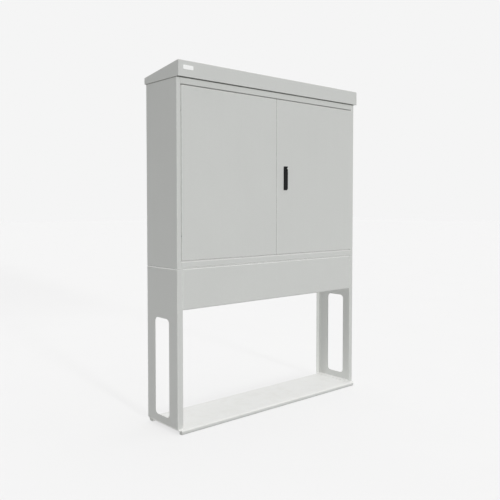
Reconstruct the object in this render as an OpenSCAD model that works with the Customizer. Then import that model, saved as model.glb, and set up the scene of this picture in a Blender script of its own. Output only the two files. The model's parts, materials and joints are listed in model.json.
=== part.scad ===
// Two-door cable distribution cabinet with a sloped roof on an open ground stand.
// Millimetres. The front faces -Y, +X is right seen from the front, the ground is z = 0.
// Sheet pieces are drawn as folded sections along a mid-line or as trays with bent edges.

/* [Cabinet] */
// Width over the side panels
body_w = 1200; // [1100:10:1300]
// Depth from the front frame to the rear flanges
body_d = 250; // [240:5:300]
// Height from the underside of the floor to the top of the top panel
cabinet_h = 863; // [800:1:950]
// Thickness of the body and stand sheet
sheet = 2; // [1.5:0.5:2.5]
// Mid-line radius of the bends
bend_r = 3; // [2.5:0.5:3.5]
// Visible width of the stiles beside the doors
stile_w = 22; // [20:1:26]
// Height of the sill rail below the doors
sill_h = 31; // [28:1:36]
// Height of the head rail above the doors
head_h = 46; // [40:1:52]
// Width of the stops that the door seals meet
stop_w = 30; // [28:1:34]

/* [Ground stand] */
// Height of the stand from the ground to its top flanges
stand_h = 739.5; // [650:0.5:800]
// Height of the base plate
base_h = 20; // [18:1:26]
// Front overhang of the base plate
base_over = 18; // [14:1:18]
// Return of the base flanges along the ground
base_lip = 20; // [16:1:26]
// Width of the stand flanges
stand_flange = 28.5; // [26:0.5:34]
// Height of the stand covers
cover_h = 184.5; // [150:0.5:220]
// Depth of the stand covers
cover_d = 26; // [24:1:30]
// Width of the slot in each stand side
slot_w = 114; // [90:1:130]
// Height of the slot in each stand side
slot_h = 452; // [300:1:470]
// Corner radius of the slots
slot_r = 20; // [10:1:30]
// Height of the slot's lower end above the ground
slot_z = 56; // [54:1:70]
// Thickness of the sealing strip on the stand
stand_seal_t = 1.5; // [1:0.5:4]

/* [Roof] */
// Front overhang of the roof
roof_front_over = 18; // [18:1:26]
// Rear overhang of the roof
roof_rear_over = 8; // [6:1:12]
// Side overhang of the roof
roof_side_over = 2.5; // [2:0.5:5]
// Height of the front roof fascia
roof_front_h = 72; // [64:1:84]
// Height of the rear roof skirt
roof_rear_h = 31; // [29:1:36]
// Length of the roof skirt below the top of the cabinet
roof_drop = 18; // [14:1:19]
// Thickness of the roof and door sheet
skin = 1.5; // [1.25:0.25:1.75]
// Outer edge radius of roof and doors
skin_r = 3; // [2.5:0.5:3.5]

/* [Doors] */
// Distance the doors stand in front of the frame
door_proud = 4; // [3:0.5:5]
// Depth of the door pans
door_d = 25; // [25:1:28]
// Gap between a door and its stile
door_gap = 1.5; // [1.5:0.25:3]
// Gap above and below a door
door_gap_z = 4; // [3:0.5:5]
// Gap between the two doors
middle_gap = 1.5; // [1.5:0.5:5]
// Width of the lip round the inside of a door
lip_w = 27; // [27:1:30]
// Thickness of the door seals
door_seal_t = 10.7; // [10:0.1:12]
// Distance of the hinges from the door ends
hinge_end = 110; // [95:1:150]

/* [Lock] */
// Distance of the handle from the free edge of its door
backset = 59.25; // [58.25:0.25:66]
// Width of the handle plate
plate_w = 23; // [22:0.5:26]
// Height of the handle plate
plate_h = 120; // [116:1:130]
// Distance of the handle centre below the door centre
handle_drop = 3.5; // [0:0.5:10]
// Width of the lever
lever_w = 19; // [17:0.5:20]
// Length of the lever below its pin
lever_l = 100; // [80:1:101]
// Gear module of pinion and rod racks
gear_m = 2; // [1.8:0.1:2]
// Width of the lock rods and slide bolts
rod_w = 8; // [7:0.5:8]
// Thickness of the lock rods and slide bolts
rod_t = 6; // [5:0.5:6]

/* [Interior] */
// Length of the mounting plate spacers
spacer_l = 22; // [18:1:30]
// Margin of the mounting plate to the side panels
plate_side = 38; // [36:1:60]
// Height of the mounting plate's lower edge above the floor
plate_low = 130; // [125:1:160]
// Distance of the mounting plate's upper edge below the top panel
plate_high = 72; // [60:1:100]
// Radius of the cable grommet holes
grommet_r = 30; // [24:1:32]
// Number of cable grommets
grommet_n = 6; // [4:1:6]

/* [Hidden] */
// Number of flats on a round edge of a bent sheet
bend_steps = 5;
$fn = 48;

// Surface colours
paint = "#c5c7c4";
zinc = "#a9adb0";
rubber_black = "#1d1e1f";
rubber_grey = "#8f918f";
plastic_black = "#26272a";
brass_yellow = "#b99a4f";

// Main planes
x_side = body_w / 2;
y_front = roof_front_over - (roof_front_over + body_d + roof_rear_over) / 2;
y_rear = y_front + body_d;
y_mid = (y_front + y_rear) / 2;
z_floor = stand_h + stand_seal_t;
z_body = z_floor + sheet;
z_deck = z_floor + cabinet_h;
z_lid = z_deck - sheet;
outer_r = bend_r + sheet / 2;

// Door opening
x_jamb = x_side - stile_w;
z_sill = z_floor + sill_h;
z_head = z_lid - head_h;
y_door = y_front - door_proud;
y_skin = y_door + skin;
y_lip = y_door + door_d;
seal_clear = 0.3;
y_stop = y_lip + door_seal_t + seal_clear;
x_stop = x_jamb - stop_w;
x_edge = x_jamb - door_gap;
x_free = middle_gap / 2;
door_w = x_edge - x_free;
z_door = z_sill + door_gap_z;
door_h = z_head - door_gap_z - z_door;

// Hinges
hinge_inset = 9.5;
x_axis = x_edge - hinge_inset;
y_axis = y_door + 7;
z_hinge_low = z_door + hinge_end;
z_hinge_high = z_door + door_h - hinge_end;
hinge_t = 4;
hinge_clear = 0.4;
pin_r = 2.5;
run_clear = 0.05;
arm_half = 2.5;
seal_in = hinge_inset + arm_half + 2;
seal_w = 12;

// Lock
x_lock = x_free + backset;
z_handle = z_door + door_h / 2 - handle_drop;
z_spindle = z_handle + plate_h / 2 - 16.5;
gear_n = 12;
gear_r = gear_m * gear_n / 2;
gear_add = 0.65 * gear_m;
gear_ded = 0.9 * gear_m;
gear_back = 0.3;
gear_angle = 20;
gear_pitch = PI * gear_m;
throw = gear_r * PI / 2;
rack_in = gear_r + gear_ded;
y_rod = y_door + 11;
rod_clear = 0.4;
tip_in = 3;
x_rod_upper = x_lock + rack_in + rod_w / 2;
x_rod_lower = x_lock - rack_in - rod_w / 2;
x_bolt = -(x_free + backset);
case_wall = 2;
case_half_w = rack_in + rod_w + 2 + case_wall;
rack_end = 5.3 * gear_pitch;
case_half_h = rack_end + case_wall + 4;
case_back = y_rod + rod_t + 2;
spindle_r = 4;
hub_r = 8.9;
plate_t = 3;
plate_r = 2.5;
y_plate = y_door - plate_t;
lever_t = 6;
lever_gap = 0.6;
y_pin = y_plate - lever_gap - lever_t / 2;
lug_w = 5;
barrel_r = 5;
z_barrel = z_spindle - lever_l + 17;

// Interior
y_inner = y_rear - 2 * sheet;
y_board = y_inner - spacer_l - sheet;
z_board = z_floor + plate_low;
board_w = 2 * (x_side - plate_side);
board_h = z_lid - plate_high - z_board;
board_fix_x = board_w / 2 - 40;
board_fix_z = board_h / 2 - 40;
gland_side = 80;
gland_end = 50;
gland_w = body_w - 2 * gland_side;
gland_d = body_d - 2 * gland_end;
grommet_pitch = (gland_w - gland_side) / grommet_n;
rail_back = body_d / 10;
rail_up = 60;
board_hole_in = 120;
stand_bolt_x = x_side - stand_flange / 2;
stand_bolt_in = 55;
stand_bolt_y = body_d / 2 - stand_bolt_in;

// Roof
roof_w = body_w + 2 * roof_side_over;
y_roof_front = y_front - roof_front_over;
y_roof_rear = y_rear + roof_rear_over;
roof_depth = y_roof_rear - y_roof_front;
z_skirt = z_deck - roof_drop;
roof_fall = (roof_front_h - roof_rear_h) / roof_depth;
roof_angle = atan(roof_fall);
bearer_x = body_w / 3;
bearer_w = 30;
bearer_bolt_y = body_d / 2 - 45;

// Section helpers
function unit(v) = v / norm(v);
function left_of(d) = [-d.y, d.x];
function spin(v, a) = [v.x * cos(a) - v.y * sin(a), v.x * sin(a) + v.y * cos(a)];
function turn(a, b) = atan2(a.x * b.y - a.y * b.x, a.x * b.x + a.y * b.y);
function backwards(list) = [for (i = [len(list) - 1 : -1 : 0]) list[i]];
function arc(c, r, a0, a1) =
    [for (k = [0 : bend_steps]) c + spin([r, 0], a0 + (a1 - a0) * k / bend_steps)];

// Points along one side of a bend at corner v between the directions d0 and d1
function bend(v, d0, d1, r, s) =
    let (
        a = turn(d0, d1),
        w = sign(a),
        centre = v - d0 * r * tan(abs(a) / 2) + left_of(d0) * r * w
    )
    [for (k = [0 : bend_steps]) centre - spin(left_of(d0), a * k / bend_steps) * w * (r - s * w)];

// One side of a folded sheet at the distance s left of its mid-line
function fold_side(path, r, s) =
    let (
        last = len(path) - 1,
        d = [for (i = [0 : last - 1]) unit(path[i + 1] - path[i])]
    )
    concat(
        [path[0] + left_of(d[0]) * s],
        [for (i = [1 : last - 1]) each bend(path[i], d[i - 1], d[i], r, s)],
        [path[last] + left_of(d[last - 1]) * s]
    );

// Section of a folded sheet round a mid-line
module fold(path, t, r) {
    polygon(concat(fold_side(path, r, t / 2), backwards(fold_side(path, r, -t / 2))));
}

// Solid along X from a section drawn in Y and Z
module along_x(x0, x1) {
    translate([x0, 0, 0])
        rotate([90, 0, 90])
            linear_extrude(x1 - x0)
                children();
}

// Solid along Y from a section drawn in X and Z
module along_y(y0, y1) {
    translate([0, y1, 0])
        rotate([90, 0, 0])
            linear_extrude(y1 - y0)
                children();
}

// Solid along Z from a section drawn in X and Y
module along_z(z0, z1) {
    translate([0, 0, z0])
        linear_extrude(z1 - z0)
            children();
}

// Box between two corners
module block(a, b) {
    translate(a)
        cube(b - a);
}

// Rectangle with round corners
module round_rect(a, b, r) {
    polygon(concat(
        arc([b.x - r, b.y - r], r, 0, 90),
        arc([a.x + r, b.y - r], r, 90, 180),
        arc([a.x + r, a.y + r], r, 180, 270),
        arc([b.x - r, a.y + r], r, 270, 360)
    ));
}

// Section of a tray with round lower edges
module tray_section(w, d, r) {
    polygon(concat(arc([r, r], r, 180, 270), arc([w - r, r], r, 270, 360), [[w, d], [0, d]]));
}

// Block whose lower four edges are round
module tray_block(a, b, d, r) {
    intersection() {
        along_y(0, b)
            tray_section(a, d, r);
        along_x(0, a)
            tray_section(b, d, r);
    }
}

// Tray of bent sheet with its face at z = 0 and its walls upwards
module tray(a, b, d, t, r) {
    difference() {
        tray_block(a, b, d, r);
        translate([t, t, t])
            tray_block(a - 2 * t, b - 2 * t, d, r - t);
    }
}

// Tray with its face to the front, from a corner to the size a by b
module front_tray(x, y, z, a, b, d, t, r) {
    translate([x, y, z + b])
        rotate([-90, 0, 0])
            tray(a, b, d, t, r);
}

// Flat ring between two rectangles
module ring(a, b, inset) {
    difference() {
        translate(a)
            square(b - a);
        translate(a + [inset, inset])
            square(b - a - [2 * inset, 2 * inset]);
    }
}

// Hexagon across the flats
module hexagon(flats) {
    circle(d = flats / cos(30), $fn = 6);
}

// Hexagon bolt with its nut, head upwards with its seat at z = 0
module bolt_and_nut(d, grip) {
    head = 0.65 * d;
    cylinder(d = d, h = grip + 2 * head + 4, center = false);
    translate([0, 0, -head])
        linear_extrude(head)
            hexagon(1.6 * d);
    translate([0, 0, grip])
        linear_extrude(0.8 * d)
            hexagon(1.6 * d);
}

// Pan head screw with its seat at z = 0 and its shank downwards
module pan_screw(d, l) {
    translate([0, 0, -l])
        cylinder(d = d, h = l);
    difference() {
        cylinder(d = 1.9 * d, h = 0.6 * d);
        translate([0, 0, 0.25 * d])
            linear_extrude(d)
                hexagon(0.8 * d);
    }
}

// Ground stand
module base_plate() {
    trim = 10;
    r = 2 * bend_r;
    low = sheet / 2;
    high = base_h - sheet / 2;
    y0 = y_front - base_over + sheet / 2;
    y1 = y_rear - sheet / 2;
    x_end = x_side - trim;
    color(paint) {
        difference() {
            along_x(-x_side, x_side)
                fold([
                    [y0 + base_lip, low],
                    [y0, low],
                    [y0, high],
                    [y1, high],
                    [y1, low],
                    [y1 - base_lip, low]
                ], sheet, r);
            for (side = [-1, 1], y = [y0, y1]) {
                translate([side * x_side, y, base_h / 2])
                    cube([2 * trim, 2 * r, base_h + 2], center = true);
                translate([side * x_side, y, high - base_h])
                    cube([2 * trim, 2 * base_lip + 2, 2 * base_h - sheet], center = true);
            }
        }
        for (x = [-x_end, x_end - sheet])
            along_x(x, x + sheet) {
                polygon(concat(
                    [[y0 + base_lip, high], [y0 + base_lip, low]],
                    arc([y0 + r, low + r], r, 270, 180),
                    arc([y0 + r, high - r], r, 180, 90)
                ));
                polygon(concat(
                    [[y1 - base_lip, high], [y1 - base_lip, low]],
                    arc([y1 - r, low + r], r, -90, 0),
                    arc([y1 - r, high - r], r, 0, 90)
                ));
            }
    }
}

module stand_side_left() {
    color(paint)
        difference() {
            translate([-x_side, y_front, base_h])
                rotate([90, 0, 90])
                    tray(body_d, stand_h - base_h, stand_flange, sheet, outer_r);
            along_x(-x_side - 1, -x_side + 2 * sheet)
                round_rect([y_mid - slot_w / 2, slot_z], [y_mid + slot_w / 2, slot_z + slot_h], slot_r);
            for (y = [-stand_bolt_y, stand_bolt_y])
                translate([-stand_bolt_x, y_mid + y, stand_h - 2 * sheet])
                    cylinder(r = 5.5, h = 3 * sheet);
        }
}

module stand_side_right() {
    mirror([1, 0, 0])
        stand_side_left();
}

// Cover across the stand with end tabs behind the stand flanges
cover_half = x_side - stand_flange - 0.5;
tab_w = 22;
tab_end = 18;
cover_stud_x = cover_half + 12;
cover_stud_z = [stand_h - cover_h + 45, stand_h - 45];

module stand_cover_front() {
    color(paint) {
        front_tray(-cover_half, y_front, stand_h - cover_h, 2 * cover_half, cover_h, cover_d, sheet, outer_r);
        for (side = [-1, 1])
            difference() {
                along_y(y_front + sheet, y_front + 2 * sheet)
                    translate([side * cover_half, stand_h - cover_h / 2])
                        square([2 * tab_w, cover_h - 2 * tab_end], center = true);
                for (z = cover_stud_z)
                    translate([side * cover_stud_x, y_front, z])
                        rotate([-90, 0, 0])
                            cylinder(r = 3.4, h = 4 * sheet);
            }
    }
}

module stand_cover_rear() {
    translate([0, 2 * y_mid, 0])
        mirror([0, 1, 0])
            stand_cover_front();
}

// Weld studs on the stand flanges with their nuts
module cover_nut_set() {
    for (side = [-1, 1], z = cover_stud_z)
        translate([side * cover_stud_x, y_front + sheet, z])
            rotate([-90, 0, 0]) {
                cylinder(r = 3, h = sheet + 8);
                translate([0, 0, sheet])
                    linear_extrude(5)
                        hexagon(10);
            }
}

module stand_cover_nuts() {
    color(zinc) {
        cover_nut_set();
        translate([0, 2 * y_mid, 0])
            mirror([0, 1, 0])
                cover_nut_set();
    }
}

module stand_seal() {
    inset = 3;
    color(rubber_grey)
        difference() {
            along_z(stand_h, z_floor)
                ring([-x_side + inset, y_front + inset], [x_side - inset, y_rear - inset], 20);
            for (x = [-stand_bolt_x, stand_bolt_x], y = [-stand_bolt_y, stand_bolt_y])
                translate([x, y_mid + y, stand_h - 1])
                    cylinder(r = 5.5, h = stand_seal_t + 2);
        }
}

module stand_bolts() {
    grip = 2 * sheet + stand_seal_t;
    color(zinc)
        for (x = [-stand_bolt_x, stand_bolt_x], y = [-stand_bolt_y, stand_bolt_y])
            translate([x, y_mid + y, z_body])
                rotate([180, 0, 0])
                    bolt_and_nut(10, grip);
}

// Cabinet body
module side_panel_left() {
    s = sheet / 2;
    rear_flange = 25;
    color(paint)
        along_z(z_body, z_lid)
            fold([
                [-x_stop, y_stop + s],
                [-x_jamb - s, y_stop + s],
                [-x_jamb - s, y_front + s],
                [-x_side + s, y_front + s],
                [-x_side + s, y_rear - s],
                [-x_side + rear_flange, y_rear - s]
            ], sheet, bend_r);
}

module side_panel_right() {
    mirror([1, 0, 0])
        side_panel_left();
}

module back_panel() {
    s = sheet / 2;
    flange = 20;
    y = y_rear - 3 * s;
    half = x_side - outer_r;
    color(paint)
        along_x(-half, half)
            fold([
                [y - flange, z_body + s],
                [y, z_body + s],
                [y, z_lid - s],
                [y - flange, z_lid - s]
            ], sheet, bend_r);
}

module floor_panel() {
    margin = 20;
    color(paint)
        difference() {
            block([-x_side, y_front, z_floor], [x_side, y_rear, z_body]);
            block(
                [-gland_w / 2 + margin, y_mid - gland_d / 2 + margin, z_floor - 1],
                [gland_w / 2 - margin, y_mid + gland_d / 2 - margin, z_body + 1]
            );
            for (x = [-stand_bolt_x, stand_bolt_x], y = [-stand_bolt_y, stand_bolt_y])
                translate([x, y_mid + y, z_floor - 1])
                    cylinder(r = 5.5, h = sheet + 2);
            gland_screw_places()
                translate([0, 0, -4])
                    cylinder(r = 3.1, h = 6);
        }
}

module top_panel() {
    color(paint)
        difference() {
            block([-x_side, y_front, z_lid], [x_side, y_rear, z_deck]);
            roof_bolt_places()
                translate([0, 0, -1])
                    cylinder(r = 4.5, h = sheet + 2);
        }
}

// Slot for a rod or bolt tip, between two heights
module rod_slot(x, z0, z1) {
    half = rod_w / 2 + rod_clear;
    block([x - half, y_rod - rod_clear, z0], [x + half, y_rod + rod_t + rod_clear, z1]);
}

// Places beside the stops that the side panels fill
module stop_ends(z0, z1) {
    for (side = [-1, 1]) {
        translate([side * (x_stop + stop_w / 2 + 1), y_stop + 5, (z0 + z1) / 2])
            cube([stop_w + 2, 10, z1 - z0], center = true);
        translate([side * x_jamb, y_stop, (z0 + z1) / 2])
            cube([2 * bend_r, 2 * bend_r, z1 - z0], center = true);
    }
}

post_half = 30;
post_fix_x = 18;
post_tab = 20;
z_stop_low = z_sill + stop_w;
z_stop_high = z_head - stop_w;

// Fixing places of the centre post in the stops
module post_screw_places() {
    for (x = [-post_fix_x, post_fix_x], z = [z_stop_low - post_tab / 2, z_stop_high + post_tab / 2])
        translate([x, y_stop + 2 * sheet, z])
            rotate([-90, 0, 0])
                children();
}

module head_rail() {
    s = sheet / 2;
    color(paint)
        difference() {
            along_x(-x_jamb, x_jamb)
                fold([
                    [y_stop + s, z_stop_high],
                    [y_stop + s, z_head + s],
                    [y_front + s, z_head + s],
                    [y_front + s, z_lid - s],
                    [y_front + 30, z_lid - s]
                ], sheet, bend_r);
            stop_ends(z_stop_high - 1, z_head + 2 * sheet);
            for (x = [x_rod_upper, x_bolt])
                rod_slot(x, z_head - 1, z_head + 2 * sheet);
            post_screw_places()
                translate([0, 0, -3 * sheet])
                    cylinder(r = 2.6, h = 4 * sheet);
        }
}

module sill_rail() {
    s = sheet / 2;
    color(paint)
        difference() {
            along_x(-x_jamb, x_jamb)
                fold([
                    [y_stop + s, z_stop_low],
                    [y_stop + s, z_sill - s],
                    [y_front + s, z_sill - s],
                    [y_front + s, z_body + s],
                    [y_front + 30, z_body + s]
                ], sheet, bend_r);
            stop_ends(z_sill - 2 * sheet, z_stop_low + 1);
            for (x = [x_rod_lower, x_bolt])
                rod_slot(x, z_sill - 2 * sheet, z_sill + 1);
            post_screw_places()
                translate([0, 0, -3 * sheet])
                    cylinder(r = 2.6, h = 4 * sheet);
        }
}

// Removable post behind the meeting edges of the doors
module centre_post() {
    s = sheet / 2;
    depth = 24;
    color(paint) {
        along_z(z_stop_low, z_stop_high)
            fold([
                [-post_half + s, y_stop + depth],
                [-post_half + s, y_stop + s],
                [post_half - s, y_stop + s],
                [post_half - s, y_stop + depth]
            ], sheet, bend_r);
        difference() {
            for (z = [z_stop_low, z_stop_high])
                along_y(y_stop + sheet, y_stop + 2 * sheet)
                    translate([0, z])
                        square([2 * post_half - 6 * bend_r, 2 * post_tab], center = true);
            post_screw_places()
                translate([0, 0, -2 * sheet])
                    cylinder(r = 2.6, h = 4 * sheet);
        }
    }
}

module centre_post_screws() {
    color(zinc)
        post_screw_places()
            pan_screw(5, 2 * sheet);
}

// Interior
module gland_screw_places() {
    for (x = [-1, 0, 1], y = [-1, 1])
        translate([x * (gland_w / 2 - 10), y_mid + y * (gland_d / 2 - 10), z_body + sheet])
            children();
}

module grommet_places() {
    for (i = [0 : grommet_n - 1])
        translate([(i - (grommet_n - 1) / 2) * grommet_pitch, y_mid, z_body])
            children();
}

module gland_plate() {
    color(zinc)
        difference() {
            block(
                [-gland_w / 2, y_mid - gland_d / 2, z_body],
                [gland_w / 2, y_mid + gland_d / 2, z_body + sheet]
            );
            grommet_places()
                translate([0, 0, -1])
                    cylinder(r = grommet_r, h = sheet + 2);
            gland_screw_places()
                translate([0, 0, -2 * sheet])
                    cylinder(r = 3.1, h = 3 * sheet);
        }
}

module gland_plate_screws() {
    color(zinc)
        gland_screw_places()
            pan_screw(6, 2 * sheet);
}

// Stepped rubber grommets with a closed membrane
module cable_grommets() {
    lip = 5;
    color(rubber_black)
        grommet_places()
            rotate_extrude()
                polygon([
                    [0, 20], [grommet_r - 16, 20], [grommet_r - 10, 12], [grommet_r - 4, 5.5],
                    [grommet_r + lip, 5], [grommet_r + lip, sheet], [grommet_r, sheet], [grommet_r, 0],
                    [grommet_r + lip, 0], [grommet_r + lip, -3], [grommet_r - 4, -3], [grommet_r - 6, 4],
                    [grommet_r - 12, 11], [grommet_r - 18, 18], [0, 18]
                ]);
}

// Slotted channel that the cables are clamped to
module cable_support_rail() {
    y0 = y_mid + rail_back;
    z0 = z_floor + rail_up;
    deep = 21;
    high = 41;
    lip = 9;
    half = x_side - sheet;
    color(zinc)
        along_x(-half, half)
            fold([
                [y0, z0 + lip], [y0, z0], [y0 + deep, z0],
                [y0 + deep, z0 + high], [y0, z0 + high], [y0, z0 + high - lip]
            ], sheet, bend_r);
}

module board_fixings() {
    for (x = [-board_fix_x, board_fix_x], z = [-board_fix_z, board_fix_z])
        translate([x, y_board, z_board + board_h / 2 + z])
            rotate([-90, 0, 0])
                children();
}

module mounting_plate() {
    fix_x = board_w / 2 - board_hole_in;
    fix_z = board_h / 2 - board_hole_in;
    color(zinc)
        difference() {
            front_tray(-board_w / 2, y_board, z_board, board_w, board_h, 14, sheet, outer_r);
            board_fixings()
                translate([0, 0, -1])
                    cylinder(r = 4.3, h = 2 * sheet + 1);
            for (x = [-fix_x, fix_x], z = [-fix_z, fix_z])
                translate([x, y_board - 1, z_board + board_h / 2 + z])
                    rotate([-90, 0, 0])
                        cylinder(r = 4.5, h = 2 * sheet + 1);
        }
}

module mounting_spacers() {
    color(zinc)
        board_fixings()
            translate([0, 0, sheet])
                difference() {
                    cylinder(r = 8, h = spacer_l);
                    translate([0, 0, -1])
                        cylinder(r = 4.3, h = spacer_l + 2);
                }
}

module mounting_bolts() {
    color(zinc)
        board_fixings() {
            cylinder(r = 4, h = sheet + spacer_l);
            translate([0, 0, -5.3])
                linear_extrude(5.3)
                    hexagon(13);
        }
}

module earth_stud() {
    back = 45;
    up = 140;
    color(brass_yellow)
        translate([-x_side + sheet, y_mid + back, z_floor + up])
            rotate([0, 90, 0]) {
                cylinder(r = 4, h = 32);
                cylinder(r = 9, h = 2);
                translate([0, 0, 2])
                    linear_extrude(6.5)
                        hexagon(13);
                translate([0, 0, 14])
                    cylinder(r = 9, h = 1.6);
                translate([0, 0, 15.6])
                    linear_extrude(6.5)
                        hexagon(13);
            }
}

// Roof
module roof_bolt_places() {
    for (x = [-bearer_x - bearer_w / 2, bearer_x + bearer_w / 2], y = [-bearer_bolt_y, bearer_bolt_y])
        translate([x, y_mid + y, z_lid])
            children();
}

// Height of the roof's outer face at a depth y
function roof_z(y) = z_skirt + roof_front_h - (y - y_roof_front) * roof_fall;

// Roof body set in by t from the outer faces, down to the height z0
module roof_block(t, r, z0) {
    drop = t / cos(roof_angle);
    y0 = y_roof_front + t;
    y1 = y_roof_rear - t;
    front = [y0, roof_z(y0) - drop];
    rear = [y1, roof_z(y1) - drop];
    slope = unit(rear - front);
    half = roof_w / 2 - t;
    intersection() {
        along_x(-half, half)
            polygon(concat(
                [[y0, z0]],
                bend(front, [0, 1], slope, r, 0),
                bend(rear, slope, [0, -1], r, 0),
                [[y1, z0]]
            ));
        translate([0, y_roof_front, roof_z(y_roof_front) - drop])
            rotate([-roof_angle, 0, 0])
                along_y(-roof_depth, 2 * roof_depth)
                    polygon(concat(
                        [[-half, -roof_depth]],
                        arc([-half + r, -r], r, 180, 90),
                        arc([half - r, -r], r, 90, 0),
                        [[half, -roof_depth]]
                    ));
    }
}

module roof_cap() {
    lip = 6;
    color(paint) {
        difference() {
            roof_block(0, skin_r, z_skirt);
            roof_block(skin, skin_r - skin, z_skirt - 1);
        }
        block(
            [-roof_w / 2 + skin / 2, y_roof_front + skin / 2, z_skirt],
            [roof_w / 2 - skin / 2, y_roof_front + lip, z_skirt + skin]
        );
        block(
            [-roof_w / 2 + skin / 2, y_roof_rear - lip, z_skirt],
            [roof_w / 2 - skin / 2, y_roof_rear - skin / 2, z_skirt + skin]
        );
    }
}

// Sloped bearer between the top panel and the roof
module roof_bearer_right() {
    y0 = y_front + 10;
    y1 = y_rear - 10;
    seat = 0.2 + skin / cos(roof_angle);
    thick = sheet / cos(roof_angle);
    color(zinc)
        difference() {
            union() {
                along_x(bearer_x, bearer_x + sheet)
                    polygon([
                        [y0, z_deck], [y1, z_deck],
                        [y1, roof_z(y1) - seat], [y0, roof_z(y0) - seat]
                    ]);
                along_x(bearer_x, bearer_x + bearer_w)
                    polygon([
                        [y0, roof_z(y0) - seat - thick], [y1, roof_z(y1) - seat - thick],
                        [y1, roof_z(y1) - seat], [y0, roof_z(y0) - seat]
                    ]);
                block([bearer_x, y0, z_deck], [bearer_x + bearer_w, y1, z_deck + sheet]);
            }
            roof_bolt_places()
                cylinder(r = 4.5, h = 3 * sheet);
        }
}

module roof_bearer_left() {
    mirror([1, 0, 0])
        roof_bearer_right();
}

module roof_bolts() {
    color(zinc)
        roof_bolt_places() {
            translate([0, 0, -4])
                cylinder(r = 7, h = 4);
            cylinder(r = 4, h = 2 * sheet + 1);
            translate([0, 0, 2 * sheet])
                linear_extrude(4)
                    hexagon(12);
        }
}

// Hinges, drawn for the left door at their middle height
module hinge_arm(z) {
    back = y_stop - 2;
    front = y_lip + 1;
    color(zinc)
        difference() {
            along_z(z - hinge_t / 2, z + hinge_t / 2)
                union() {
                    translate([-x_jamb, front])
                        square([x_jamb - x_axis + arm_half, back - front]);
                    translate([-x_axis - arm_half, y_axis])
                        square([2 * arm_half, back - y_axis]);
                    translate([-x_axis, y_axis])
                        circle(r = pin_r + 2.4);
                }
            translate([-x_axis, y_axis, z - hinge_t])
                cylinder(r = pin_r + 0.02, h = 2 * hinge_t);
        }
}

module hinge_knuckle(z) {
    inner = hinge_t / 2 + hinge_clear;
    outer = inner + hinge_t;
    web = 7;
    thick = 3;
    color(zinc)
        difference() {
            along_z(z - outer, z + outer)
                translate([-x_axis - 5, y_skin])
                    square([5 + web + thick, y_axis + 5 - y_skin]);
            block(
                [-x_axis - 6, y_skin - 1, z - inner],
                [-x_axis + web, y_axis + 6, z + inner]
            );
            translate([-x_axis, y_axis, z - outer - 1])
                cylinder(r = pin_r + run_clear, h = 2 * outer + 2);
        }
}

module hinge_pin(z) {
    outer = hinge_t * 1.5 + hinge_clear;
    translate([-x_axis, y_axis, z - outer - 2])
        cylinder(r = pin_r, h = 2 * outer + 2.3);
    translate([-x_axis, y_axis, z + outer + 0.3])
        cylinder(r = pin_r + 1.5, h = 2);
}

module hinge_arm_left_upper() {
    hinge_arm(z_hinge_high);
}

module hinge_arm_left_lower() {
    hinge_arm(z_hinge_low);
}

module hinge_arm_right_upper() {
    mirror([1, 0, 0])
        hinge_arm(z_hinge_high);
}

module hinge_arm_right_lower() {
    mirror([1, 0, 0])
        hinge_arm(z_hinge_low);
}

module hinge_pins_left() {
    color(zinc)
        for (z = [z_hinge_low, z_hinge_high])
            hinge_pin(z);
}

module hinge_pins_right() {
    mirror([1, 0, 0])
        hinge_pins_left();
}

// Doors, the left one drawn with its hinge edge at -X
module door_pan() {
    slot_half = hinge_t / 2 + 1;
    difference() {
        union() {
            front_tray(-x_edge, y_door, z_door, door_w, door_h, door_d, skin, skin_r);
            along_y(y_lip - skin, y_lip)
                ring([-x_edge, z_door], [-x_free, z_door + door_h], lip_w);
        }
        for (z = [z_hinge_low, z_hinge_high])
            block(
                [-x_edge - 1, y_skin, z - slot_half],
                [-x_axis + arm_half + 1.5, y_lip + 1, z + slot_half]
            );
    }
}

module door_left() {
    color(paint)
        difference() {
            door_pan();
            rod_slot(x_bolt, z_door + door_h - 2 * skin, z_door + door_h + 1);
            rod_slot(x_bolt, z_door - 1, z_door + 2 * skin);
        }
}

module door_right() {
    color(paint)
        difference() {
            mirror([1, 0, 0])
                door_pan();
            rod_slot(x_rod_upper, z_door + door_h - 2 * skin, z_door + door_h + 1);
            rod_slot(x_rod_lower, z_door - 1, z_door + 2 * skin);
            translate([x_lock, y_door - 1, z_spindle])
                rotate([-90, 0, 0])
                    cylinder(r = hub_r + 0.6, h = 2 * skin + 1);
        }
}

module door_seal_left() {
    color(rubber_black)
        along_y(y_lip, y_lip + door_seal_t)
            ring(
                [-x_edge + seal_in, z_door + seal_in],
                [-x_free - seal_in, z_door + door_h - seal_in],
                seal_w
            );
}

module door_seal_right() {
    mirror([1, 0, 0])
        door_seal_left();
}

module hinge_knuckle_left_upper() {
    hinge_knuckle(z_hinge_high);
}

module hinge_knuckle_left_lower() {
    hinge_knuckle(z_hinge_low);
}

module hinge_knuckle_right_upper() {
    mirror([1, 0, 0])
        hinge_knuckle(z_hinge_high);
}

module hinge_knuckle_right_lower() {
    mirror([1, 0, 0])
        hinge_knuckle(z_hinge_low);
}

// Guide block for a rod or bolt at x, fixed to the inside of a door
module guide(x, z0, z1) {
    side = 4;
    difference() {
        block(
            [x - rod_w / 2 - side, y_skin, z0],
            [x + rod_w / 2 + side, y_rod + rod_t + 3, z1]
        );
        rod_slot(x, z0 - 1, z1 + 1);
    }
}

// Slide bolts of the left door, drawn withdrawn
guide_in = 16;
guide_l = 50;
knob_r = 5;
bolt_l = guide_in + guide_l + throw + 2 * knob_r + 8;
z_bolt_top = z_door + door_h - tip_in;
z_bolt_low = z_door + tip_in;

module bolt_guide_upper() {
    color(zinc)
        guide(x_bolt, z_bolt_top - guide_in - guide_l, z_bolt_top - guide_in);
}

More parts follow.
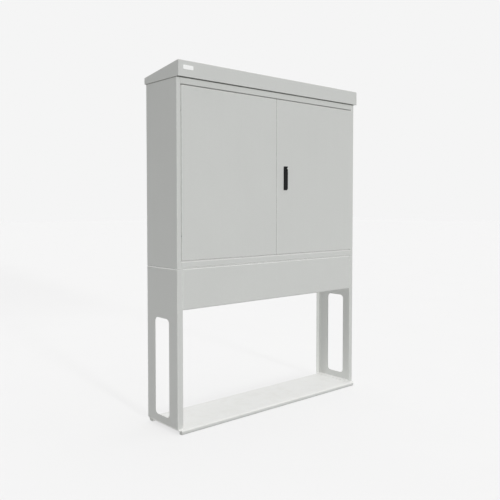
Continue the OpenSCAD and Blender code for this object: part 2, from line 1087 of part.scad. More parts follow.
module bolt_guide_lower() {
    color(zinc)
        guide(x_bolt, z_bolt_low + guide_in, z_bolt_low + guide_in + guide_l);
}

// Bolt bar with a bevelled tip at the origin and its knob further down
module slide_bolt() {
    along_y(y_rod, y_rod + rod_t)
        polygon([
            [-rod_w / 2, -bolt_l], [rod_w / 2, -bolt_l], [rod_w / 2, -3],
            [rod_w / 2 - 2, 0], [-rod_w / 2 + 2, 0], [-rod_w / 2, -3]
        ]);
    translate([0, y_rod + rod_t, -bolt_l + knob_r + 1])
        rotate([-90, 0, 0]) {
            cylinder(r = rod_w / 2 - 1, h = 5);
            translate([0, 0, 5])
                cylinder(r = knob_r, h = 6);
        }
}

module slide_bolt_upper() {
    color(zinc)
        translate([x_bolt, 0, z_bolt_top])
            slide_bolt();
}

module slide_bolt_lower() {
    color(zinc)
        translate([x_bolt, 0, z_bolt_low])
            mirror([0, 0, 1])
                slide_bolt();
}

// Lock of the right door
module handle_plate() {
    top = z_handle + plate_h / 2;
    swept = norm([lever_w, lever_t]) / 2;
    color(plastic_black)
        difference() {
            union() {
                along_y(y_plate, y_door)
                    round_rect(
                        [x_lock - plate_w / 2, z_handle - plate_h / 2],
                        [x_lock + plate_w / 2, top],
                        plate_r
                    );
                along_y(y_pin - lever_t / 2, y_door)
                    round_rect(
                        [x_lock - lever_w / 2, z_spindle + swept + lever_gap],
                        [x_lock + lever_w / 2, top],
                        plate_r
                    );
            }
            translate([x_lock, y_plate - 1, z_spindle])
                rotate([-90, 0, 0])
                    cylinder(r = hub_r + run_clear, h = plate_t + 2);
        }
}

// Case over pinion and racks with four fixing ears
ear_w = 10;
ear_h = 18;

module case_screw_places() {
    for (x = [-1, 1], z = [-1, 1])
        translate([
            x_lock + x * (case_half_w + ear_w / 2),
            y_skin + case_wall,
            z_spindle + z * (case_half_h - ear_h / 2)
        ])
            rotate([-90, 0, 0])
                children();
}

module lock_case() {
    half_w = case_half_w;
    half_h = case_half_h;
    color(zinc)
        difference() {
            union() {
                block(
                    [x_lock - half_w, y_skin, z_spindle - half_h],
                    [x_lock + half_w, case_back + case_wall, z_spindle + half_h]
                );
                for (z = [z_spindle - half_h, z_spindle + half_h - ear_h])
                    block(
                        [x_lock - half_w - ear_w, y_skin, z],
                        [x_lock + half_w + ear_w, y_skin + case_wall, z + ear_h]
                    );
            }
            block(
                [x_lock - half_w + case_wall, y_skin - 1, z_spindle - half_h + case_wall],
                [x_lock + half_w - case_wall, case_back, z_spindle + half_h - case_wall]
            );
            rod_slot(x_rod_upper, z_spindle, z_spindle + half_h + 1);
            rod_slot(x_rod_lower, z_spindle - half_h - 1, z_spindle);
            translate([x_lock, case_back - 1, z_spindle])
                rotate([-90, 0, 0])
                    cylinder(r = spindle_r + run_clear, h = case_wall + 2);
            case_screw_places()
                translate([0, 0, -case_wall - 1])
                    cylinder(r = 2.1, h = case_wall + 2);
        }
}

module lock_case_screws() {
    color(zinc)
        case_screw_places()
            pan_screw(4, case_wall);
}

module rod_guides_upper() {
    top = z_door + door_h - tip_in;
    color(zinc)
        for (z = [top - 46, (top + z_spindle) / 2])
            guide(x_rod_upper, z, z + 16);
}

module rod_guides_lower() {
    low = z_door + tip_in;
    color(zinc)
        for (z = [low + 30, (low + z_spindle) / 2])
            guide(x_rod_lower, z, z + 16);
}

// Hub in the handle plate with the lever lug in front and the spindle behind
module handle_hub() {
    front = y_plate - 0.2;
    lug_r = lever_t / 2 - 0.2;
    color(plastic_black)
        translate([x_lock, 0, z_spindle]) {
            translate([0, front, 0])
                rotate([-90, 0, 0])
                    cylinder(r = hub_r, h = y_skin + 3 - front);
            translate([0, front + 1, 0])
                rotate([-90, 0, 0])
                    cylinder(r = spindle_r, h = case_back + case_wall - front);
            difference() {
                translate([-lug_w / 2, 0, 0])
                    along_x(0, lug_w)
                        union() {
                            translate([y_pin, 0])
                                circle(r = lug_r);
                            translate([y_pin, -lug_r])
                                square([front + 1 - y_pin, 2 * lug_r]);
                        }
                translate([-lug_w, y_pin, 0])
                    rotate([0, 90, 0])
                        cylinder(r = 1.2, h = 2 * lug_w);
            }
        }
}

// Involute of the pinion flank at radius r, as an angle in degrees
gear_base = gear_r * cos(gear_angle);
function involute(r) = let (a = acos(gear_base / r)) tan(a) * 180 / PI - a;
function flank_angle(r) =
    (gear_pitch / 2 - gear_back) / (2 * gear_r) * 180 / PI
    + involute(gear_r) - involute(max(r, gear_base));

module lock_pinion() {
    tip = gear_r + gear_add;
    root = gear_r - gear_ded;
    radii = concat([root], [for (k = [0 : 4]) gear_base + (tip - gear_base) * k / 4]);
    color(zinc)
        translate([x_lock, 0, z_spindle])
            difference() {
                along_y(y_rod, y_rod + rod_t)
                    polygon([
                        for (i = [0 : gear_n - 1])
                            each concat(
                                [for (r = radii) spin([r, 0], i * 360 / gear_n - flank_angle(r))],
                                [for (r = backwards(radii)) spin([r, 0], i * 360 / gear_n + flank_angle(r))]
                            )
                    ]);
                translate([0, y_rod - 1, 0])
                    rotate([-90, 0, 0])
                        cylinder(r = spindle_r + 0.02, h = rod_t + 2);
            }
}

// Lock rod from its rack end to its bevelled tip, right of the spindle and pointing up
module lock_rod(reach) {
    back = rack_in + rod_w;
    half = (gear_pitch / 2 - gear_back) / 2;
    slope = tan(gear_angle);
    root_half = half + gear_ded * slope;
    tip_half = half - gear_add * slope;
    crest = gear_r - gear_add;
    along_y(y_rod, y_rod + rod_t)
        polygon(concat(
            [[back, reach - 3], [back - 2, reach], [rack_in + 2, reach], [rack_in, reach - 3]],
            [
                for (k = [1 : -1 : -5])
                    let (z = (k + 0.5) * gear_pitch)
                    each [
                        [rack_in, z + root_half], [crest, z + tip_half],
                        [crest, z - tip_half], [rack_in, z - root_half]
                    ]
            ],
            [[rack_in, -rack_end], [back, -rack_end]]
        ));
}

module lock_rod_upper() {
    color(zinc)
        translate([x_lock, 0, z_spindle])
            lock_rod(z_door + door_h - tip_in - z_spindle);
}

module lock_rod_lower() {
    color(zinc)
        translate([x_lock, 0, z_spindle])
            mirror([1, 0, 0])
                mirror([0, 0, 1])
                    lock_rod(z_spindle - z_door - tip_in);
}

// Lever with a forked upper end, hanging in front of the handle plate
module lever() {
    back = y_pin + lever_t / 2;
    front = y_pin - lever_t / 2;
    low = -lever_l;
    color(plastic_black)
        translate([x_lock, 0, z_spindle])
            difference() {
                intersection() {
                    along_x(-lever_w / 2, lever_w / 2)
                        union() {
                            translate([y_pin, 0])
                                circle(r = lever_t / 2);
                            polygon(concat(
                                [[back, 0]],
                                [[front, 0]],
                                arc([front + 2.5, low + 2.5], 2.5, 180, 270),
                                arc([back - 1.5, low + 1.5], 1.5, 270, 360)
                            ));
                        }
                    along_y(front - 1, back + 1)
                        round_rect([-lever_w / 2, low], [lever_w / 2, lever_t], plate_r);
                }
                translate([-lug_w / 2 - 0.3, front - 1, -7])
                    cube([lug_w + 0.6, lever_t + 2, 20]);
                translate([-lever_w, y_pin, 0])
                    rotate([0, 90, 0])
                        cylinder(r = 1.2 + run_clear, h = 2 * lever_w);
                translate([0, front - 1, z_barrel - z_spindle])
                    rotate([-90, 0, 0])
                        cylinder(r = barrel_r + run_clear, h = lever_t + 2);
            }
}

module lever_pin() {
    color(zinc)
        translate([x_lock - lever_w / 2 + 0.5, y_pin, z_spindle])
            rotate([0, 90, 0])
                cylinder(r = 1.2, h = lever_w - 1);
}

// Lock barrel with its key slot
module lock_barrel() {
    front = y_pin - lever_t / 2 - 0.4;
    color(plastic_black)
        translate([x_lock, front, z_barrel])
            rotate([-90, 0, 0])
                difference() {
                    cylinder(r = barrel_r, h = lever_t + 0.2);
                    translate([-0.6, -3, -1])
                        cube([1.2, 6, 4]);
                }
}

base_plate();
stand_side_left();
stand_side_right();
stand_cover_front();
stand_cover_rear();
stand_cover_nuts();
stand_seal();
stand_bolts();
side_panel_left();
side_panel_right();
back_panel();
floor_panel();
top_panel();
head_rail();
sill_rail();
centre_post();
centre_post_screws();
gland_plate();
gland_plate_screws();
cable_grommets();
cable_support_rail();
mounting_plate();
mounting_spacers();
mounting_bolts();
earth_stud();
roof_cap();
roof_bearer_left();
roof_bearer_right();
roof_bolts();
hinge_arm_left_upper();
hinge_arm_left_lower();
hinge_arm_right_upper();
hinge_arm_right_lower();
hinge_pins_left();
hinge_pins_right();
door_left();
door_seal_left();
hinge_knuckle_left_upper();
hinge_knuckle_left_lower();
bolt_guide_upper();
bolt_guide_lower();
slide_bolt_upper();
slide_bolt_lower();
door_right();
door_seal_right();
hinge_knuckle_right_upper();
hinge_knuckle_right_lower();
handle_plate();
lock_case();
lock_case_screws();
rod_guides_upper();
rod_guides_lower();
handle_hub();
lock_pinion();
lock_rod_upper();
lock_rod_lower();
lever();
lever_pin();
lock_barrel();
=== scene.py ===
"""Looks of a two-door cable distribution cabinet on its ground stand."""
import json
import math

import bmesh
import bpy
import numpy as np
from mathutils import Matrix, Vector


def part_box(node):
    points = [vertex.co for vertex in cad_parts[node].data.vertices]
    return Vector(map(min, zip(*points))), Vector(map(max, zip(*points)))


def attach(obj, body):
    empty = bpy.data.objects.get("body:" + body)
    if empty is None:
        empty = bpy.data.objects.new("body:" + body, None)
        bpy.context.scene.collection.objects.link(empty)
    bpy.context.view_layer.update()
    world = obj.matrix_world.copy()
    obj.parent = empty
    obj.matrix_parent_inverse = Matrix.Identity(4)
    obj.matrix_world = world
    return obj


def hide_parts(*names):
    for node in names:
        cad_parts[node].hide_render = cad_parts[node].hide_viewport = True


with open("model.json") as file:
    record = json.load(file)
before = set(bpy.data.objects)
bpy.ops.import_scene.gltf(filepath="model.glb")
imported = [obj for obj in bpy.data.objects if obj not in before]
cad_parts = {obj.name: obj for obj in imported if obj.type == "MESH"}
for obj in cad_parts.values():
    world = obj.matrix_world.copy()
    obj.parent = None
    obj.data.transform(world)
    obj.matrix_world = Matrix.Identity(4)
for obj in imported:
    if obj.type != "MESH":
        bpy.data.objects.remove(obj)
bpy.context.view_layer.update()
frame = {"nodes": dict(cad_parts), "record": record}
nodes = frame["nodes"]
slot_of = {part["node"]: part["material_slot"] for part in frame["record"]["subparts"]}
scene = bpy.context.scene


def linear(r, g, b):
    """Linear colour of an 8-bit display colour."""
    c = np.array([r, g, b]) / 255.0
    c = np.where(c <= 0.04045, c / 12.92, ((c + 0.055) / 1.055) ** 2.4)
    return (*map(float, c), 1.0)


# Shader expressions
class Flow:
    """One socket of a finish. Arithmetic on it adds Math nodes to the finish."""

    def __init__(self, finish, socket):
        self.finish, self.socket = finish, socket

    def math(self, operation, *terms):
        return self.finish.node("Math", {"operation": operation}, dict(enumerate(terms)))

    def __add__(self, other):
        return self.math("ADD", self, other)

    def __radd__(self, other):
        return self.math("ADD", other, self)

    def __sub__(self, other):
        return self.math("SUBTRACT", self, other)

    def __rsub__(self, other):
        return self.math("SUBTRACT", other, self)

    def __mul__(self, other):
        return self.math("MULTIPLY", self, other)

    def __rmul__(self, other):
        return self.math("MULTIPLY", other, self)

    def least(self, other):
        return self.math("MINIMUM", self, other)

    def most(self, other):
        return self.math("MAXIMUM", self, other)

    def away(self, plane):
        """Distance from a plane."""
        return self.math("ABSOLUTE", self - plane)

    def rise(self, low, high):
        """Smooth step from 0 at low to 1 at high, also where low is the larger one."""
        return self.finish.node(
            "MapRange", {"interpolation_type": "SMOOTHSTEP"},
            {"Value": self, "From Min": low, "From Max": high})


class Finish:
    """A material whose nodes come from one method, round a Principled shader."""

    def __init__(self, name, tree=None):
        if tree is None:
            self.material = bpy.data.materials.new(name)
            self.material.use_nodes = True
            tree = self.material.node_tree
        self.tree = tree
        self.shader = tree.nodes.get("Principled BSDF")

    def node(self, kind, settings=None, inputs=None, out=0):
        """Adds a shader node: its settings first, then the values or links of its sockets."""
        made = self.tree.nodes.new("ShaderNode" + kind)
        for key, value in (settings or {}).items():
            setattr(made, key, value)
        for key, value in (inputs or {}).items():
            self.feed(made.inputs[key], value)
        return Flow(self, made.outputs[out])

    def feed(self, socket, value):
        if isinstance(value, Flow):
            self.tree.links.new(value.socket, socket)
        else:
            socket.default_value = value

    def set(self, **values):
        """Sets Principled sockets; underscores stand for the blanks in their names."""
        for key, value in values.items():
            self.feed(self.shader.inputs[key.replace("_", " ")], value)

    def place(self):
        return self.node("TexCoord", out="Object")

    def axes(self, vector):
        made = self.node("SeparateXYZ", inputs={0: vector}).socket.node
        return [Flow(self, made.outputs[i]) for i in range(3)]

    def noise(self, vector, scale=1.0, detail=2.0, rough=0.5):
        return self.node("TexNoise", inputs={
            "Vector": vector, "Scale": scale, "Detail": detail, "Roughness": rough})

    def cells(self, vector, scale, feature="F1", out=0):
        return self.node("TexVoronoi", {"feature": feature}, {"Vector": vector, "Scale": scale}, out)

    def stretch(self, vector, factors):
        return self.node("VectorMath", {"operation": "MULTIPLY"}, {0: vector, 1: factors})

    def mix(self, factor, a, b):
        """Colour between a and b. The colour sockets of a Mix node are found by their numbers."""
        return self.node("Mix", {"data_type": "RGBA"}, {0: factor, 6: a, 7: b}, out=2)

    def bump(self, height, distance, strength):
        return self.node("Bump", inputs={
            "Height": height, "Distance": distance, "Strength": strength})


def edge_nearness(axes, low, high, width):
    """1 on the outer edges of a box and 0 from width inwards.

    Of the three distances to the nearest box face, the middle one is the distance to an edge."""
    near = [(p - float(a)).least(float(b) - p) for p, a, b in zip(axes, low, high)]
    middle = near[0].least(near[1]).most(near[0].most(near[1]).least(near[2]))
    return middle.rise(width, 0.0)


def painted_joint_shade(node, x, y, z):
    """1 where shade is painted: in the door joints, under the eaves and in the rear folds of the stand.

    Each joint is a plane, and a smooth step turns the distance from the nearest one into painted
    shade. In a fold of the stand it fades from the rear flange along the inner face of the sheet."""
    # Distances from a joint: where the painted shade starts, and where it is full
    door_line, post_line, head_line = (0.003, 0.0015), (0.006, 0.002), (0.0035, 0.0012)
    head_eave, side_eave = (0.003, 0.0), (0.004, 0.0005)
    lip, sheet, fold, fold_end = (0.0005, 0.0016), (0.0008, 0.0016), (0.012, 0.004), 0.07
    # How much of the painted shade stays at the joints that are lighter than the rest
    middle_share, hinge_share, post_share, fold_share = 0.4, 0.2, 0.5, 0.27
    half_gap = 0.0007
    left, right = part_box("door_left"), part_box("door_right")
    front, middle = left[0].y, 0.5 * (left[1].x + right[0].x)
    top, bottom = left[1].z + half_gap, left[0].z - half_gap
    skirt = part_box("roof_cap")[0].z
    if node.startswith("door_"):
        hinged = left[0].x if node == "door_left" else right[1].x
        edge = z.away(top).least(z.away(bottom)).rise(*door_line)
        edge = edge.most(middle_share * x.away(middle).rise(*door_line))
        edge = edge.most(hinge_share * x.away(hinged).rise(*door_line))
        return edge * y.rise(front + lip[0], front + lip[1])
    if node == "centre_post":
        return post_share * x.away(middle).rise(*post_line)
    if node == "head_rail":
        under_eave = z.rise(skirt - head_eave[0], skirt - head_eave[1])
        return z.away(top).rise(*head_line).most(under_eave)
    if node.startswith("side_panel_"):
        return z.rise(skirt - side_eave[0], skirt - side_eave[1])
    if node.startswith("stand_side_"):
        low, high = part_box(node)
        inwards = x.away(low.x if node == "stand_side_left" else high.x)
        inner_face = inwards.rise(*sheet) * inwards.rise(*fold)
        return fold_share * inner_face * y.away(high.y).rise(fold_end, 0.0)
    return None


# Finishes
def powder_coat(name, node):
    """Light grey powder coat: fine peel, faint cloudiness, paler rubbed edges that also carry a painted
    highlight, dust near the ground and painted shade in the joints.
    """
    deep, pale = linear(188.2, 189.9, 187.1), linear(207.2, 208.9, 206.1)
    # The darkest grey is painted shade for the joints; the palest is partly a painted highlight for the
    # edges
    thin_paint_and_highlight, dust, shade_grey = linear(213, 214, 211), linear(178, 173, 163), linear(84, 84, 80)
    f = Finish(name)
    place = f.place()
    axes = f.axes(place)
    cloud = f.noise(place, scale=3.1, detail=3.0)
    speck = f.noise(place, scale=520.0)
    wipe = f.noise(f.stretch(place, (38.0, 38.0, 1.6)), detail=3.0)
    # Paler rubbed paint along the box edges, which also serves as a painted highlight on the folds
    edge_wear_and_highlight = edge_nearness(axes, *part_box(node), width=0.007)
    edge_wear_and_highlight = edge_wear_and_highlight * f.noise(place, scale=46.0, detail=4.0, rough=0.6).rise(0.44, 0.66)
    splash = f.noise(place, scale=17.0, detail=5.0, rough=0.62).rise(0.42, 0.78)
    splash = axes[2].rise(0.26, 0.0) * splash
    tone = f.mix(cloud * 0.3 + speck * 0.62 + wipe * 0.08, deep, pale)
    tone = f.mix(edge_wear_and_highlight * 0.45, tone, thin_paint_and_highlight)
    tone = f.mix(splash * 0.12, tone, dust)
    # Painted shade in the door joints, under the eaves and in the rear folds of the stand
    joint_shade = painted_joint_shade(node, *axes)
    if joint_shade is not None:
        tone = f.mix(joint_shade * 0.8, tone, shade_grey)
    fine_peel = f.noise(place, scale=620.0, detail=1.0)
    broad_peel = f.noise(place, scale=210.0, detail=1.0)
    f.set(Base_Color=tone,
          Roughness=0.38 + 0.1 * cloud + 0.08 * wipe - 0.1 * edge_wear_and_highlight + 0.2 * splash,
          Normal=f.bump(fine_peel * 0.65 + broad_peel * 0.35, distance=0.00025, strength=0.6),
          Specular_IOR_Level=0.4)
    return f.material


def zinc_plate(name):
    """Dull zinc: small crystal patches at two sizes, fine drawn lines and faint white bloom."""
    deep, pale, white = linear(152, 156, 159), linear(180, 183, 185), linear(192, 193, 192)
    f = Finish(name)
    place = f.place()
    patch = f.axes(f.cells(place, scale=95.0, out="Color"))[0]
    small = f.cells(place, scale=380.0, feature="SMOOTH_F1")
    drawn = f.noise(f.stretch(place, (900.0, 900.0, 40.0)))
    bloom = f.noise(place, scale=9.0, detail=4.0, rough=0.6).rise(0.45, 0.8)
    tone = f.mix(patch * 0.45 + small * 0.25 + drawn * 0.3, deep, pale)
    f.set(Base_Color=f.mix(bloom * 0.3, tone, white),
          Metallic=0.72 - 0.2 * bloom,
          Roughness=0.56 + 0.08 * drawn + 0.06 * patch + 0.1 * bloom,
          Normal=f.bump(drawn * 0.6 + small * 0.4, distance=0.00006, strength=0.35))
    return f.material


def soft_rubber(name, deep, pale):
    """Sealing rubber: its deep tone with a paler bloom and fine grain."""
    f = Finish(name)
    place = f.place()
    bloom = f.noise(place, scale=30.0, detail=4.0, rough=0.6).rise(0.35, 0.8)
    grain = f.noise(place, scale=1400.0)
    f.set(Base_Color=f.mix(bloom * 0.5, deep, pale),
          Roughness=0.72 + 0.15 * bloom,
          Normal=f.bump(grain, distance=0.0001, strength=0.5))
    return f.material


def moulded_plastic(name, node):
    """Black moulded plastic: eroded grain, rubbed shiny and grey along its edges."""
    deep, pale, grey = linear(15, 16, 17), linear(23, 24, 25), linear(58, 59, 60)
    f = Finish(name)
    place = f.place()
    rubbed = edge_nearness(f.axes(place), *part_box(node), width=0.002)
    rubbed = rubbed * f.noise(place, scale=160.0, detail=3.0, rough=0.6).rise(0.35, 0.65)
    grain = f.cells(place, scale=1900.0)
    haze = f.noise(place, scale=60.0, detail=3.0)
    f.set(Base_Color=f.mix(rubbed * 0.5, f.mix(haze, deep, pale), grey),
          Roughness=0.5 + 0.16 * haze - 0.18 * rubbed,
          Normal=f.bump(grain, distance=0.00006, strength=0.6),
          Specular_IOR_Level=0.2)
    return f.material


def turned_brass(name):
    """Plain brass with fine turning lines round X and brown tarnish."""
    deep, pale, brown = linear(176, 146, 78), linear(204, 176, 104), linear(122, 92, 48)
    f = Finish(name)
    place = f.place()
    lines = f.noise(f.stretch(place, (2200.0, 60.0, 60.0)))
    tarnish = f.noise(place, scale=190.0, detail=4.0, rough=0.6).rise(0.42, 0.75)
    f.set(Base_Color=f.mix(tarnish * 0.5, f.mix(lines, deep, pale), brown),
          Metallic=1.0,
          Roughness=0.26 + 0.12 * lines + 0.2 * tarnish,
          Normal=f.bump(lines, distance=0.00005, strength=0.4))
    return f.material


def white_enamel(name):
    """White enamel with a faint cloud."""
    f = Finish(name)
    place = f.place()
    cloud = f.noise(place, scale=60.0, detail=3.0)
    ripple = f.noise(place, scale=500.0, detail=1.0)
    f.set(Base_Color=f.mix(cloud, linear(236, 237, 235), linear(246, 247, 246)),
          Roughness=0.28 + 0.12 * cloud,
          Normal=f.bump(ripple, distance=0.00005, strength=0.3))
    return f.material


def pale_floor(name):
    """Pale floor with a faint mottle."""
    f = Finish(name)
    mottle = f.noise(f.place(), scale=2.0, detail=3.0)
    f.set(Base_Color=f.mix(mottle, (0.319, 0.323, 0.319, 1.0), (0.329, 0.333, 0.329, 1.0)),
          Roughness=0.9,
          Specular_IOR_Level=0.0,
          Emission_Color=(1.0, 1.0, 1.0, 1.0),
          Emission_Strength=0.436)
    return f.material


def dress(obj, material):
    obj.data.materials.clear()
    obj.data.materials.append(material)


shared = {
    "zinc_plated_steel": zinc_plate("zinc_plate"),
    "black_rubber": soft_rubber("black_rubber", linear(26, 27, 28), linear(52, 53, 53)),
    "grey_rubber": soft_rubber("grey_rubber", linear(132, 134, 132), linear(150, 152, 150)),
    "plain_brass": turned_brass("turned_brass"),
}
for name, obj in nodes.items():
    slot = slot_of[name]
    if slot == "light_grey_paint":
        dress(obj, powder_coat("powder_coat_" + name, name))
    elif slot == "black_plastic":
        dress(obj, moulded_plastic("moulded_plastic_" + name, name))
    else:
        dress(obj, shared[slot])


# Surfaces
def surface(name, grid, closed=(False, False)):
    """Mesh piece from a grid of points shaped (u, v, 3), or from a stack of such grids.

    closed joins the last row or column to the first. Points that meet at a pole become one."""
    crease, same_point = 0.6, 1e-7
    nu, nv = grid.shape[-3:-1]
    i = np.arange(nu if closed[0] else nu - 1)[:, None]
    j = np.arange(nv if closed[1] else nv - 1)[None, :]
    i2, j2 = (i + 1) % nu, (j + 1) % nv
    quads = np.stack([i * nv + j, i2 * nv + j, i2 * nv + j2, i * nv + j2], -1).reshape(1, -1, 4)
    copies = grid.size // (3 * nu * nv)
    quads = (quads + nu * nv * np.arange(copies)[:, None, None]).reshape(-1, 4)
    mesh = bpy.data.meshes.new(name)
    mesh.from_pydata(grid.reshape(-1, 3).tolist(), [], quads.tolist())
    work = bmesh.new()
    work.from_mesh(mesh)
    bmesh.ops.remove_doubles(work, verts=work.verts, dist=same_point)
    work.to_mesh(mesh)
    work.free()
    mesh.polygons.foreach_set("use_smooth", np.ones(len(mesh.polygons), bool))
    mesh.set_sharp_from_angle(angle=crease)
    mesh.update()
    piece = bpy.data.objects.new(name, mesh)
    scene.collection.objects.link(piece)
    return piece


def round_path(x0, x1, z0, z1, r, steps):
    """Closed rectangle with round corners in the door plane, and its outward direction at each point.

    Each corner is a quarter circle of radius r; the straight sides run between them."""
    quarter = np.linspace(0.0, 0.5 * math.pi, steps)
    corner = np.array([[x1 - r, z1 - r], [x0 + r, z1 - r], [x0 + r, z0 + r], [x1 - r, z0 + r]])
    angle = quarter[None, :] + 0.5 * math.pi * np.arange(4)[:, None]
    out = np.stack([np.cos(angle), np.sin(angle)], -1).reshape(-1, 2)
    return np.repeat(corner, steps, 0) + r * out, out


def bulb_seal(name, node):
    """Bulb seal of a door: a foot with a half-round bulb on it, carried round the door.

    The section is a list of points across and behind the door lip, and the bulb in it is half an
    ellipse. The path is the door seal's mid-line, a rectangle with round corners."""
    low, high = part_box(node)
    half, deep, corner_r = 0.006, high.y - low.y, 0.012
    bulb_half, bulb_from, foot_h = 0.82 * half, 0.36 * deep, 0.26 * deep
    path, out = round_path(
        low.x + half, high.x - half, low.z + half, high.z - half, corner_r, steps=9)
    t = np.linspace(0.0, math.pi, 19)
    bulb = np.stack([bulb_half * np.cos(t), bulb_from + (deep - bulb_from) * np.sin(t)], -1)
    foot = np.array([[-half, foot_h], [-half, 0.0], [half, 0.0], [half, foot_h]])
    section = np.concatenate([bulb, foot])[::-1]
    grid = np.empty((len(path), len(section), 3))
    grid[..., 0] = path[:, None, 0] + out[:, None, 0] * section[None, :, 0]
    grid[..., 1] = low.y + section[None, :, 1]
    grid[..., 2] = path[:, None, 1] + out[:, None, 1] * section[None, :, 0]
    return surface(name, grid, (True, True))


def blank_plate(name, x, z, y, thick):
    """Thin bare plate with round corners and a soft rim on the roof front.

    The outline is a superellipse of power 8. Rings spread from the middle of the back to it, and
    shrink again to the middle of the front while the height rises along a quarter circle."""
    power, rim_foot = 8.0, 0.4
    angle = -np.linspace(0.0, 2.0 * math.pi, 96, endpoint=False)
    edge = np.stack([np.cos(angle), np.sin(angle)], -1)
    edge = np.sign(edge) * np.abs(edge) ** (2.0 / power)
    quarter = np.linspace(0.0, 0.5 * math.pi, 6)
    shrink = np.concatenate([[0.0], thick * (1.0 - np.cos(quarter))])
    rim = thick * (rim_foot + (1.0 - rim_foot) * np.sin(quarter))
    half = 0.5 * np.array([x[1] - x[0], z[1] - z[0]])
    ring = edge[None] * (half[None, None] - shrink[:, None, None])
    ring = np.concatenate([ring[:1] * 0.0, ring, ring[-1:] * 0.5, ring[-1:] * 0.0])
    lift = np.concatenate([[0.0, 0.0], rim, [thick, thick]])
    grid = np.empty((*ring.shape[:2], 3))
    grid[..., 0] = 0.5 * sum(x) + ring[..., 0]
    grid[..., 1] = y - lift[:, None]
    grid[..., 2] = 0.5 * sum(z) + ring[..., 1]
    return surface(name, grid, (False, True))


# Turned pieces: rows of a radius that depends on the length along an axis and the turn round it
lap = -np.linspace(0.0, 2.0 * math.pi, 48, endpoint=False)


def round_rows(start, end, r, bevel):
    """Rows of a round disc or shank: a circle whose radius drops by the bevel at both ends."""
    along = np.array([start, start + bevel, end - bevel, end])
    radius = np.array([r - bevel, r, r, r - bevel])
    return along, np.repeat(radius[:, None], len(lap), 1)


def hexagon_rows(start, end, flats, bevelled):
    """Rows of a nut or bolt head: a hexagon cut back by a cone at each end that is bevelled.

    The hexagon's radius is half its flats over the cosine of the angle from the nearest flat. The
    cone starts a little inside the flats and opens at a steady slope."""
    cone_start, slope, reach, far = 0.48 * flats, 1.7, 0.0012, 1.0
    along = np.concatenate([np.linspace(start, start + reach, 7), np.linspace(end - reach, end, 7)])
    hexagon = 0.5 * flats / np.cos(np.mod(lap, math.pi / 3.0) - math.pi / 6.0)
    first, last = np.where(bevelled, 0.0, far)
    cone = cone_start + np.minimum(slope * (along - start) + first, slope * (end - along) + last)
    return along, np.minimum(hexagon[None, :], cone[:, None])


def thread_rows(start, end, r, pitch):
    """Rows of a screw thread: a V groove, 0.6 of the pitch deep, that climbs one pitch a turn."""
    depth, rows_a_turn = 0.6 * pitch, 6.0
    along = np.linspace(start, end, int(round((end - start) / pitch * rows_a_turn)) + 1)
    phase = np.mod(along[:, None] / pitch + lap[None, :] / (2.0 * math.pi), 1.0)
    return along, r - depth * (1.0 - np.abs(2.0 * phase - 1.0))


def turned_piece(name, sections, places, axis, across):
    """Turned or hexagonal piece: its rows set round an axis, with a pole at each end.

    A point lies at its length along the axis and its radius out from it. across is where the turn
    starts. The whole grid is repeated at each place."""
    along = np.concatenate([lengths for lengths, radii in sections])
    radius = np.concatenate([radii for lengths, radii in sections])
    along = np.concatenate([along[:1], along, along[-1:]])
    radius = np.concatenate([0.0 * radius[:1], radius, 0.0 * radius[-1:]])
    axis, across = np.array(axis, float), np.array(across, float)
    out = np.cos(lap)[:, None] * across + np.sin(lap)[:, None] * np.cross(axis, across)
    grid = along[:, None, None] * axis + radius[..., None] * out[None]
    return surface(name, np.array(places)[:, None, None, :] + grid[None], (False, True))


def corner_places(low, high, flats, along, level):
    """Places of four hexagons in the corners of a box, at a level of the axis numbered along.

    Across the first of the other axes a hexagon shows its corners, and across the second its flats."""
    first, second = [k for k in range(3) if k != along]
    corners, sides = 0.5 * flats / math.cos(math.pi / 6.0), 0.5 * flats
    first_ends = [low[first] + corners, high[first] - corners]
    second_ends = [low[second] + sides, high[second] - sides]
    places = np.empty((2, 2, 3))
    places[..., first], places[..., second] = np.meshgrid(first_ends, second_ends, indexing="ij")
    places[..., along] = level
    return places.reshape(-1, 3)


def earth_terminal(name, node):
    """Earth stud: washer and nut on the wall, a second pair for the cable, thread between and beyond."""
    low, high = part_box(node)
    flats, stud_r, pitch, washer_r, washer_bevel = 0.013, 0.004, 0.00125, 0.009, 0.0002
    # Where each section ends, from the wall
    washer_1, nut_1, thread_1 = 0.002, 0.0085, 0.014
    washer_2, nut_2, thread_2 = 0.0156, 0.0221, 0.0312
    tip_r, tip_bevel = 0.0034, 0.0003
    sections = [
        round_rows(0.0, washer_1, washer_r, washer_bevel),
        hexagon_rows(washer_1, nut_1, flats, (False, True)),
        thread_rows(nut_1, thread_1, stud_r, pitch),
        round_rows(thread_1, washer_2, washer_r, washer_bevel),
        hexagon_rows(washer_2, nut_2, flats, (False, True)),
        thread_rows(nut_2, thread_2, stud_r, pitch),
        round_rows(thread_2, high.x - low.x, tip_r, tip_bevel),
    ]
    place = [low.x, 0.5 * (low.y + high.y), 0.5 * (low.z + high.z)]
    return turned_piece(name, sections, [place], axis=(1.0, 0.0, 0.0), across=(0.0, 0.0, -1.0))


def plate_bolts(name, node):
    """Bolts of the mounting plate: bevelled heads to the front and plain shanks in the spacers."""
    low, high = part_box(node)
    flats, head, shank_r, shank_bevel = 0.013, 0.0053, 0.004, 0.0004
    sections = [
        hexagon_rows(0.0, head, flats, (True, False)),
        round_rows(head, high.y - low.y, shank_r, shank_bevel),
    ]
    places = corner_places(low, high, flats, along=1, level=low.y)
    return turned_piece(name, sections, places, axis=(0.0, 1.0, 0.0), across=(1.0, 0.0, 0.0))


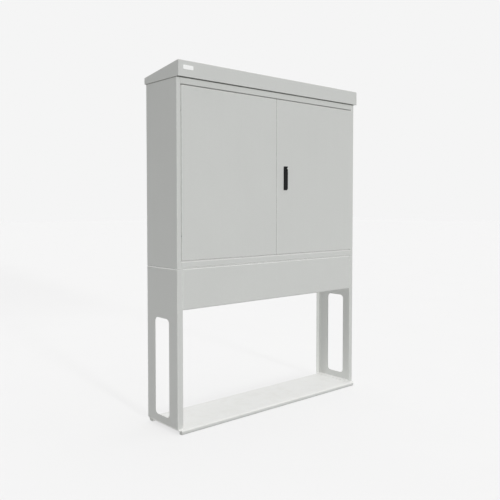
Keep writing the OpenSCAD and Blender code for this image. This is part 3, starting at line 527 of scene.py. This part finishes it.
def floor_bolts(name, node):
    """Bolts between cabinet and stand: bevelled heads above the floor, nuts and thread ends below."""
    low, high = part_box(node)
    flats, shank_r, shank_bevel, pitch = 0.016, 0.005, 0.0001, 0.0015
    head, grip, nut = 0.0065, 0.0055, 0.008
    sections = [
        hexagon_rows(0.0, head, flats, (True, False)),
        round_rows(head, head + grip, shank_r, shank_bevel),
        hexagon_rows(head + grip, head + grip + nut, flats, (False, True)),
        thread_rows(head + grip + nut, high.z - low.z, shank_r, pitch),
    ]
    places = corner_places(low, high, flats, along=2, level=high.z)
    return turned_piece(name, sections, places, axis=(0.0, 0.0, -1.0), across=(1.0, 0.0, 0.0))


plate = blank_plate(
    "blank_plate", x=(-0.577, -0.522), z=(1.617, 1.636), y=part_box("roof_cap")[0].y, thick=0.0008)
dress(plate, white_enamel("white_enamel"))
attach(plate, "cabinet")

for make, name, node, body in (
        (bulb_seal, "bulb_seal_left", "door_seal_left", "left_door"),
        (bulb_seal, "bulb_seal_right", "door_seal_right", "right_door"),
        (earth_terminal, "earth_terminal", "earth_stud", "cabinet"),
        (plate_bolts, "plate_bolts", "mounting_bolts", "cabinet"),
        (floor_bolts, "floor_bolts", "stand_bolts", "cabinet")):
    piece = make(name, node)
    dress(piece, shared[slot_of[node]])
    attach(piece, body)
    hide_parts(node)


# Stage
floor_ends = np.array([-40.0, 40.0])
floor_grid = np.stack([*np.meshgrid(floor_ends, floor_ends, indexing="ij"), np.zeros((2, 2))], -1)
floor = surface("floor", floor_grid)
dress(floor, pale_floor("pale_floor"))
floor.visible_diffuse = floor.visible_shadow = False


# Light and camera
def soft_sky(back, base, up, right, below):
    """Soft studio dome: brighter overhead and to the right, dim below, with an even backdrop.

    Above the horizon its strength is base + up times z + right times x of the direction. The camera
    sees the strength back instead."""
    world = bpy.data.worlds.new("studio")
    world.use_nodes = True
    scene.world = world
    f = Finish("studio", world.node_tree)
    x, _, z = f.axes(f.node("TexCoord", out="Generated"))
    over = z.math("GREATER_THAN", z, 0.0)
    glow = over * (base + up * z + right * x).most(0.0) + (1.0 - over) * below
    seen = f.node("LightPath", out="Is Camera Ray")
    sky = world.node_tree.nodes["Background"]
    f.feed(sky.inputs["Color"], (1.0, 1.0, 1.0, 1.0))
    f.feed(sky.inputs["Strength"], seen * back + (1.0 - seen) * glow)


def even_fill(name, aim, level, spread=0.6, shadow=False, tint=(1.0, 1.0, 1.0)):
    """Fill lamp along a direction; level 1 shows a square-on face in its own colour."""
    lamp = bpy.data.lights.new(name, "SUN")
    lamp.energy, lamp.angle, lamp.use_shadow, lamp.color = level * math.pi, spread, shadow, tint
    holder = bpy.data.objects.new(name, lamp)
    holder.rotation_euler = Vector(aim).to_track_quat("-Z", "Y").to_euler()
    holder.visible_glossy = False
    scene.collection.objects.link(holder)


soft_sky(back=0.913, base=0.4, up=0.3, right=0.4, below=0.02)
even_fill("front_fill", aim=(0.12, 1.0, -0.15), level=0.629, spread=0.1, shadow=True)
even_fill("top_fill", aim=(0.0, 0.0, -1.0), level=0.735, tint=(1.0, 0.972, 0.995))
even_fill("left_fill", aim=(1.0, 0.0, 0.0), level=0.366)
even_fill("rear_fill", aim=(0.0, -1.0, 0.0), level=0.58)
even_fill("right_fill", aim=(-1.0, 0.0, 0.0), level=0.16)

camera = bpy.data.cameras.new("camera")
camera.sensor_width = 36.0
camera.lens = 44.93
camera.shift_y = -0.0381
viewer = bpy.data.objects.new("camera", camera)
viewer.location = (-2.1645, -2.3956, 1.0176)
viewer.rotation_euler = Vector((0.6578, 0.7521, -0.0391)).to_track_quat("-Z", "Y").to_euler()
scene.collection.objects.link(viewer)
scene.camera = viewer
scene.view_settings.view_transform = "Standard"
